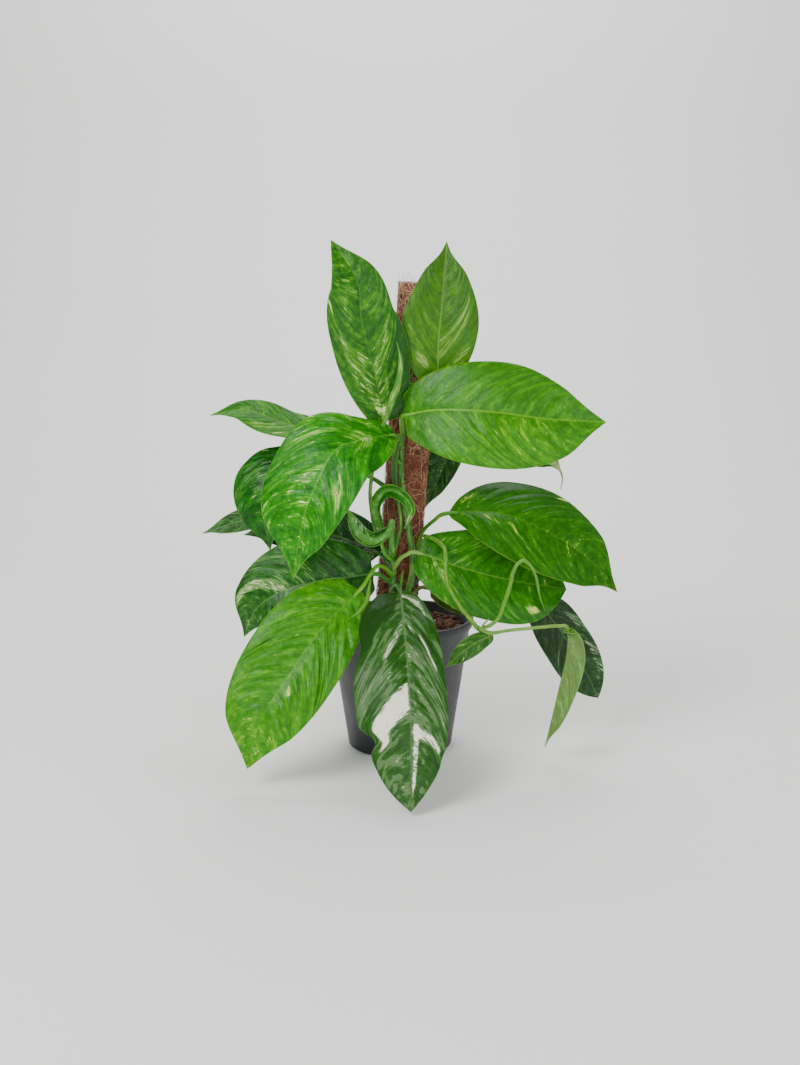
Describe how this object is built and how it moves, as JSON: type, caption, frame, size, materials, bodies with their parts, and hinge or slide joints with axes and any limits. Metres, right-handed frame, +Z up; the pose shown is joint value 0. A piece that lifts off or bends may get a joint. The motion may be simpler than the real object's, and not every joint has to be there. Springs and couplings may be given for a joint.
{
  "type": "potted climbing house plant on a coir pole",
  "caption": "Marbled climbing aroid with large pointed leaves, trained up a coir pole in a plain round nursery pot.",
  "frame": {"origin": "centre of the underside of the pot, on the surface it stands on", "axes": "+Z up along the pot; -Y towards the front, where most leaves face; +X to the right as seen from the front"},
  "size_m": [0.5167, 0.3397, 0.6253],
  "materials": {
    "pot_plastic": "satin",
    "potting_soil": "matte",
    "core_tube": "satin",
    "coir": "matte",
    "leaf_tissue": "satin",
    "young_leaf": "satin",
    "stem_tissue": "satin",
    "runner_tissue": "satin",
    "aerial_root": "matte"
  },
  "bodies": {
    "root": {"pot": "pot_plastic", "soil": "potting_soil", "pole_core": "core_tube", "coir_sleeve": "coir", "leaf_top_left": "leaf_tissue", "leaf_top_right": "leaf_tissue", "leaf_upper_right": "leaf_tissue", "leaf_mid_left": "leaf_tissue", "leaf_far_left": "leaf_tissue", "leaf_back_left": "leaf_tissue", "leaf_left_small": "leaf_tissue", "leaf_shade_left": "leaf_tissue", "leaf_low_left": "leaf_tissue", "leaf_front_left": "leaf_tissue", "leaf_front_centre": "leaf_tissue", "leaf_mid_right": "leaf_tissue", "leaf_low_right": "leaf_tissue", "leaf_shade_right": "leaf_tissue", "leaf_back_low": "leaf_tissue", "leaf_back_right": "leaf_tissue", "leaf_back_hanging": "leaf_tissue", "leaf_young_hook": "young_leaf", "leaf_young_curled": "young_leaf", "leaf_runner_narrow": "young_leaf", "leaf_runner_small": "young_leaf", "leaf_rolled_new": "young_leaf", "stem_main": "stem_tissue", "stem_left": "stem_tissue", "shoot_spike": "stem_tissue", "runner": "runner_tissue", "runner_shoot": "runner_tissue", "sheath_hook": "runner_tissue", "root_stub": "runner_tissue", "runner_root": "runner_tissue", "aerial_root_1": "aerial_root", "aerial_root_2": "aerial_root", "aerial_root_3": "aerial_root", "aerial_root_4": "aerial_root", "aerial_root_5": "aerial_root"}
  },
  "joints": []
}
